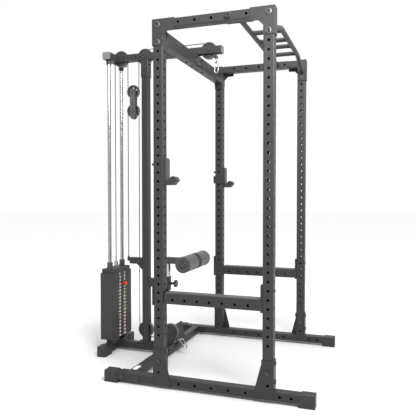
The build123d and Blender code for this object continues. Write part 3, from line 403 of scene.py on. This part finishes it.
def add_tube(bm, path, radius, around=16):
    """Round tube along a list of points, with closed ends; radius may be one value or a list."""
    points = [Vector(p) for p in path]
    radii = radius if isinstance(radius, (list, tuple)) else [radius] * len(points)
    tangents = []
    for i, point in enumerate(points):
        before, after = points[max(i - 1, 0)], points[min(i + 1, len(points) - 1)]
        tangents.append((after - before).normalized())
    side = tangents[0].orthogonal().normalized()
    rings = []
    for point, tangent, r in zip(points, tangents, radii):
        side = (side - tangent * side.dot(tangent)).normalized()
        other = tangent.cross(side)
        rings.append([bm.verts.new(point + (side * math.cos(a) + other * math.sin(a)) * r)
                      for a in (2 * math.pi * k / around for k in range(around))])
    for a, b in zip(rings, rings[1:]):
        for k in range(around):
            bm.faces.new((a[k], a[(k + 1) % around], b[(k + 1) % around], b[k]))
    bm.faces.new(rings[0])
    bm.faces.new(rings[-1])


def add_turned(bm, profile, turn=Matrix.Identity(4), around=48):
    """Turned shape: profile is a closed loop of (along, radius) pairs about the X axis."""
    rings = []
    for k in range(around):
        angle = 2 * math.pi * k / around
        rings.append([bm.verts.new(turn @ Vector((x, r * math.cos(angle), r * math.sin(angle))))
                      for x, r in profile])
    count = len(profile)
    for k in range(around):
        a, b = rings[k], rings[(k + 1) % around]
        for i in range(count):
            j = (i + 1) % count
            bm.faces.new((a[i], a[j], b[j], b[i]))


def arc(y, z, radius, start, end, steps=24):
    return [(0, y + radius * math.cos(math.radians(a)), z + radius * math.sin(math.radians(a)))
            for a in (start + (end - start) * k / steps for k in range(steps + 1))]


def lay_toward(direction):
    """Turns the X axis to a direction."""
    return Vector((1, 0, 0)).rotation_difference(Vector(direction)).to_matrix().to_4x4()


# ---------------------------------------------------------------- cables
cable = looks["black_cable"]


def cable_run(name, path, replaced=(), bodies=None, body=None):
    bm = bmesh.new()
    add_tube(bm, path, CABLE_RADIUS)
    obj = finish_mesh(name, bm, cable, body, True, replaced)
    if bodies:
        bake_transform(obj)
    return obj


drop_y = LAT_PULLEY_Y - BIG_GROOVE
lat_stop_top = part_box("lat_cable_end")[1].z
front_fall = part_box("lat_cable_to_block")[0].y + CABLE_RADIUS
rear_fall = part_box("lat_cable_to_block")[1].y - CABLE_RADIUS
post_pulley_y = front_fall - BIG_GROOVE
rear_pulley_y = rear_fall + BIG_GROOVE
block_y, block_radius = (front_fall + rear_fall) / 2, (rear_fall - front_fall) / 2
cable_run("lat_cable_drop", [(0, drop_y, lat_stop_top - 0.001), (0, drop_y, LAT_AXLE_Z)]
          + arc(LAT_PULLEY_Y, LAT_AXLE_Z, BIG_GROOVE, 180, 90)
          + arc(post_pulley_y, LAT_AXLE_Z, BIG_GROOVE, 90, 0),
          ["lat_cable_over_beam"], ("frame", "lat_cable_end"))
cable_run("lat_cable_over_rear_pulley", arc(rear_pulley_y, LAT_AXLE_Z, BIG_GROOVE, 180, 0, 36),
          body="frame")
cable_run("lat_cable_under_block", [(0, front_fall, LAT_AXLE_Z)]
          + arc(block_y, BLOCK_UPPER_Z, block_radius, -180, 0) + [(0, rear_fall, LAT_AXLE_Z)],
          ["lat_cable_to_block"], ("frame", "pulley_block"))
cable_run("row_cable_over_block", [(0, front_fall, LOW_AXLE_Z)]
          + arc(block_y, BLOCK_LOWER_Z, block_radius, 180, 0),
          ["row_cable_to_block"], ("frame", "pulley_block"))
anchor_end, block_end = (0, rear_fall, ANCHOR_TOP_Z), (0, rear_fall, BLOCK_LOWER_Z)
cable_run("row_cable_to_anchor", [anchor_end, block_end], (), ("frame", "pulley_block"))
row_stop_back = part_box("row_cable_end")[1].y
low_run = LOW_AXLE_Z - BIG_GROOVE
cable_run("row_cable_low_run", arc(post_pulley_y, LOW_AXLE_Z, BIG_GROOVE, 0, -90)
          + [(0, ROW_PULLEY_Y, low_run), (0, row_stop_back - 0.001, low_run)],
          ["row_cable_along_base"], ("frame", "row_cable_end"))
stack_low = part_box("stack_cable")[0].z
stack_top, stack_split = (0, STACK_Y, LAT_AXLE_Z), (0, STACK_Y, STACK_SPLIT_Z)
cable_run("stack_cable_upper", [stack_top, stack_split], ["stack_cable"],
          ("frame", "stack_cable"))
cable_run("stack_cable_lower", [stack_split, (0, STACK_Y, stack_low - 0.001)], (),
          ("stack_cable", "lifted_stack"))


# ---------------------------------------------------------------- foam rollers
def foam_roller(side, name):
    low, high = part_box(name)
    centre = (low + high) / 2
    radius = (high.z - low.z) / 2
    half = (high.x - low.x) / 2
    bm = bmesh.new()
    inner = 0.0235
    corner = 0.007
    profile = [(-half + 0.002, inner), (-half + 0.0005, inner + 0.004), (-half, radius - corner - 0.004)]
    for k in range(7):
        a = math.pi / 2 * k / 6
        profile.append((-half + corner - corner * math.cos(a), radius - corner + corner * math.sin(a)))
    for k in range(1, 12):
        t = k / 12
        dip = 0.0009 * math.sin(math.pi * t) + 0.00025 * math.sin(9.4 * t + side)
        profile.append((-half + corner + (2 * half - 2 * corner) * t, radius - dip))
    for k in range(7):
        a = math.pi / 2 * (1 - k / 6)
        profile.append((half - corner + corner * math.cos(a), radius - corner + corner * math.sin(a)))
    profile += [(half, radius - corner - 0.004), (half - 0.0005, inner + 0.004), (half - 0.002, inner)]
    add_turned(bm, profile, Matrix.Translation(centre), 72)
    for vert in bm.verts:
        offset = vert.co - centre
        angle = math.atan2(offset.z, offset.y)
        if math.hypot(offset.y, offset.z) > radius * 0.9:
            soft = 0.0005 * math.sin(3 * angle + 40 * offset.x) * math.sin(60 * offset.x + side)
            vert.co -= Vector((0, offset.y, offset.z)) * (abs(soft) / radius)
    foam = finish_mesh(name + "_foam", bm, looks["foam"], name, True, [name])
    bm = bmesh.new()
    bore = 0.0124
    for end in (-1, 1):
        steps = ((0.020, bore), (0.020, inner + 0.0004), (0.0030, inner + 0.0004),
                 (0.0010, inner - 0.0010), (0.0004, inner - 0.004), (0.0004, bore + 0.004),
                 (0.0020, bore + 0.002), (0.0020, bore))
        profile = [(end * half - end * inset, radius_there) for inset, radius_there in steps]
        add_turned(bm, profile, Matrix.Translation(centre), 48)
    finish_mesh(name + "_bush", bm, looks["bushing_plastic"], name)


foam_roller(-1, "left_foam_roller")
foam_roller(1, "right_foam_roller")


# ---------------------------------------------------------------- weld beads
def weld(bm, path, size=0.0028):
    """Rippled bead along a closed loop of points, half sunk in the joint."""
    points = [Vector(p) for p in path]
    count = len(points)
    rings = []
    for i, point in enumerate(points):
        tangent = (points[(i + 1) % count] - points[i - 1]).normalized()
        side = tangent.orthogonal().normalized()
        other = tangent.cross(side)
        r = size * (0.86 + 0.14 * math.cos(math.pi * i) + random.uniform(-0.07, 0.07))
        rings.append([bm.verts.new(point + (side * math.cos(a) + other * math.sin(a)) * r)
                      for a in (math.pi * k / 4 for k in range(8))])
    for i in range(count):
        a, b = rings[i], rings[(i + 1) % count]
        near = min(range(8), key=lambda s: (a[0].co - b[s].co).length)
        for k in range(8):
            bm.faces.new((a[k], a[(k + 1) % 8], b[(near + k + 1) % 8], b[(near + k) % 8]))


def round_loop(centre, axis, radius, step=0.0024):
    count = 2 * round(math.pi * radius / step)
    turn = lay_toward(axis)
    return [Vector(centre) + turn @ Vector((0, radius * math.cos(a), radius * math.sin(a)))
            for a in (2 * math.pi * k / count for k in range(count))]


def square_loop(centre, axis, width, height, corner=0.005, step=0.0024):
    """Loop round a rectangular tube; width and height are across the two other axes in order."""
    spots = []
    w, h = width / 2 - corner, height / 2 - corner
    for cx, cy, start in ((w, h, 0), (-w, h, 90), (-w, -h, 180), (w, -h, 270)):
        spots += [(cx + corner * math.cos(math.radians(start + a)),
                   cy + corner * math.sin(math.radians(start + a))) for a in (0, 30, 60, 90)]
    path = []
    for (x0, y0), (x1, y1) in zip(spots, spots[1:] + spots[:1]):
        parts = max(1, round(math.hypot(x1 - x0, y1 - y0) / step))
        path += [(x0 + (x1 - x0) * k / parts, y0 + (y1 - y0) * k / parts)
                 for k in range(parts)]
    if len(path) % 2:
        path.pop()
    c = Vector(centre)
    if axis == "X":
        return [c + Vector((0, a, b)) for a, b in path]
    if axis == "Y":
        return [c + Vector((a, 0, b)) for a, b in path]
    return [c + Vector((a, b, 0)) for a, b in path]


def add_welds():
    bm = bmesh.new()
    chin_front, chin_rear, chin_z = -0.539, -0.351, 2.119
    for side in (-1, 1):
        weld(bm, round_loop((side * 0.537, chin_rear, chin_z), (1, 0, 0), 0.0153))
        weld(bm, square_loop((side * 0.539, 0.119, 2.052), "X", 0.060, 0.080))
        weld(bm, square_loop((side * 0.539, 0.314, 0.042), "X", 0.050, 0.050))
    for x in (-0.260, -0.072, 0.072, 0.260):
        for y in (chin_front + 0.0148, chin_rear - 0.0148):
            weld(bm, round_loop((x, y, chin_z), (0, 1, 0), 0.0142), 0.0024)
    weld(bm, square_loop((0, 0.345, 0.042), "Y", 0.050, 0.050))
    weld(bm, square_loop((0, 0.707, 0.042), "Y", 0.050, 0.050))
    weld(bm, square_loop((0, 0.489, 0.075), "Z", 0.050, 0.050))
    weld(bm, square_loop((0, 0.464, 0.508), "Y", 0.040, 0.060))
    weld(bm, square_loop((0, 0.3533, 0.508), "Y", 0.040, 0.060), 0.0024)
    weld(bm, square_loop((0, 0.514, 0.6595), "Y", 0.040, 0.045))
    finish_mesh("weld_beads", bm, paint, "frame")


add_welds()


# ---------------------------------------------------------------- stack numbers
def digits(text, place, size, bold):
    """Flat numerals that face -Y, as mesh data in the row frame."""
    curve = bpy.data.curves.new("digits", "FONT")
    curve.body = text
    curve.size = size
    curve.align_x = "CENTER"
    curve.align_y = "CENTER"
    curve.extrude = 0.00012
    curve.offset = bold
    curve.resolution_u = 3
    obj = bpy.data.objects.new("digits", curve)
    mesh = bpy.data.meshes.new_from_object(obj)
    mesh.transform(Matrix.Translation(place) @ Matrix.Rotation(math.pi / 2, 4, "X"))
    bpy.data.objects.remove(obj)
    bpy.data.curves.remove(curve)
    return mesh


def bar(bm, x, z, width, height, y):
    """Thin rounded plate that stands on the plane y and faces -Y."""
    depth = 0.0003
    r = height * 0.35
    w, h = width / 2 - r, height / 2 - r
    outline = []
    for cx, cz, start in ((w, h, 0), (-w, h, 90), (-w, -h, 180), (w, -h, 270)):
        outline += [(x + cx + r * math.cos(math.radians(start + a)),
                     z + cz + r * math.sin(math.radians(start + a))) for a in (0, 30, 60, 90)]
    back = [bm.verts.new((px, y, pz)) for px, pz in outline]
    front = [bm.verts.new((px, y - depth, pz)) for px, pz in outline]
    bm.faces.new(front)
    bm.faces.new(back)
    for k in range(len(outline)):
        j = (k + 1) % len(outline)
        bm.faces.new((back[k], back[j], front[j], front[k]))


def printed(name, color):
    """Printed ink or vinyl: slightly scuffed, with a soft gloss."""
    g = Graph(name)
    base = g.blend(g.ramp(g.noise(260, 4), 0.55, 0.8, 0, 0.5), color, shade(color, 0.55))
    g.shader(Base_Color=base, Roughness=g.ramp(g.noise(90, 2), 0.3, 0.7, 0.4, 0.55),
             Normal=g.bump(g.noise(900, 2), 0.00003))
    return g.material


def add_stack_marks():
    white = printed("printed_white", (0.70, 0.70, 0.68))
    inks = {"green": printed("printed_green", (0.30, 0.42, 0.05)),
            "red": printed("printed_red", (0.45, 0.05, 0.03))}
    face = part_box("resting_weight_plates")[0].y
    for body, rows in (("lifted_stack", range(15, 19)), ("frame", range(0, 15))):
        numbers, bars = bmesh.new(), {"green": bmesh.new(), "red": bmesh.new()}
        for index in rows:
            z = STACK_BASE_Z + (index + 0.5) * PLATE_PITCH
            kilos = 5 * (PLATE_COUNT - index)
            for x, value in ((-0.034, kilos), (0.034, round(kilos * POUNDS_PER_KILO))):
                mesh = digits(str(value), (x, face - 0.00016, z), 0.0200, 0.0006)
                numbers.from_mesh(mesh)
                bpy.data.meshes.remove(mesh)
            tint = "green" if index > 6 else "red"
            if index < 14:
                for x in (-0.060, 0.060):
                    bar(bars[tint], x, z, 0.007, 0.015, face)
        finish_mesh(body + "_numbers", numbers, white, body, smooth=False)
        for tint, made in bars.items():
            if made.verts:
                finish_mesh(f"{body}_{tint}_marks", made, inks[tint], body, smooth=False)
            else:
                made.free()


add_stack_marks()


# ---------------------------------------------------------------- blank sticker
def add_sticker():
    bm = bmesh.new()
    bar(bm, 0, 0, 0.074, 0.026, 0)
    bmesh.ops.rotate(bm, verts=bm.verts, matrix=Matrix.Rotation(-math.pi / 2, 3, "X"))
    bmesh.ops.translate(bm, verts=bm.verts, vec=(-0.500, 0.3135, 0.067))
    finish_mesh("blank_sticker", bm, printed("blank_label", (0.80, 0.80, 0.79)), "frame",
                smooth=False)


add_sticker()


# ---------------------------------------------------------------- selector pin lanyard
def add_lanyard():
    points = [(0.024, 0.6905, 0.596), (0.026, 0.677, 0.592), (0.034, 0.669, 0.562),
              (0.033, 0.667, 0.5395), (0.024, 0.671, 0.5095), (0.013, 0.675, 0.4965)]
    curve = bpy.data.curves.new("lanyard_route", "CURVE")
    curve.dimensions = "3D"
    curve.resolution_u = 12
    spline = curve.splines.new("NURBS")
    spline.points.add(len(points) - 1)
    for spot, point in zip(spline.points, points):
        spot.co = (*point, 1)
    spline.order_u = 3
    spline.use_endpoint_u = True
    route = bpy.data.objects.new("lanyard_route", curve)
    line = bpy.data.meshes.new_from_object(route)
    path = [tuple(v.co) for v in line.vertices]
    bpy.data.objects.remove(route)
    bpy.data.meshes.remove(line)
    bm = bmesh.new()
    add_tube(bm, path, 0.0015, 12)
    lanyard = finish_mesh("pin_lanyard_cord", bm, cable, None, True, ["pin_lanyard"])
    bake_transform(lanyard)


add_lanyard()


# ---------------------------------------------------------------- studio
def add_stage():
    """White floor, a little greyer round the object: a painted shadow."""
    g = Graph("studio_floor")
    away = g.node("VectorMath", {0: g.place}, operation="LENGTH").outputs["Value"]
    # painted shadow: grey near the object, fading to white by 2.4 m out
    shadow_fade = g.math("ADD", g.ramp(away, 0.7, 2.4), g.ramp(g.noise(1.5, 3), 0.3, 0.7, -0.06, 0.06))
    base = g.blend(shadow_fade, (0.60, 0.60, 0.60), (0.95, 0.95, 0.95))
    g.shader(Base_Color=base, Roughness=0.75, Specular_IOR_Level=0.1)
    bm = bmesh.new()
    bmesh.ops.create_circle(bm, cap_ends=True, segments=96, radius=30)
    floor = finish_mesh("floor", bm, g.material, smooth=False)
    floor.location.z = -0.0005
    floor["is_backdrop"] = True


def add_area(name, place, target, size, power, spread=180):
    data = bpy.data.lights.new(name, "AREA")
    data.shape = "RECTANGLE"
    data.size, data.size_y = size
    data.energy = power
    data.spread = math.radians(spread)
    lamp = bpy.data.objects.new(name, data)
    bpy.context.scene.collection.objects.link(lamp)
    aim = Vector(target) - Vector(place)
    lamp.rotation_euler = aim.to_track_quat("-Z", "Y").to_euler()
    lamp.location = place
    lamp.visible_camera = False


def add_sky_light():
    data = bpy.data.lights.new("soft_sky", "SUN")
    data.energy = 0.1
    data.angle = 1.2
    lamp = bpy.data.objects.new("soft_sky", data)
    bpy.context.scene.collection.objects.link(lamp)


add_stage()
add_sky_light()
world = bpy.data.worlds.new("studio")
world.use_nodes = True
world.node_tree.nodes["Background"].inputs["Color"].default_value = (1, 1, 1, 1)
world.node_tree.nodes["Background"].inputs["Strength"].default_value = 1.0
bpy.context.scene.world = world
bpy.context.scene.view_settings.view_transform = "Standard"
add_area("overhead", (-0.3, -0.1, 3.7), (0, 0, 0), (2.6, 2.6), 30)
add_area("high_key", (-2.2, -1.5, 2.9), (-0.3, 0, 2.0), (1.4, 1.4), 115, 130)

low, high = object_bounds()
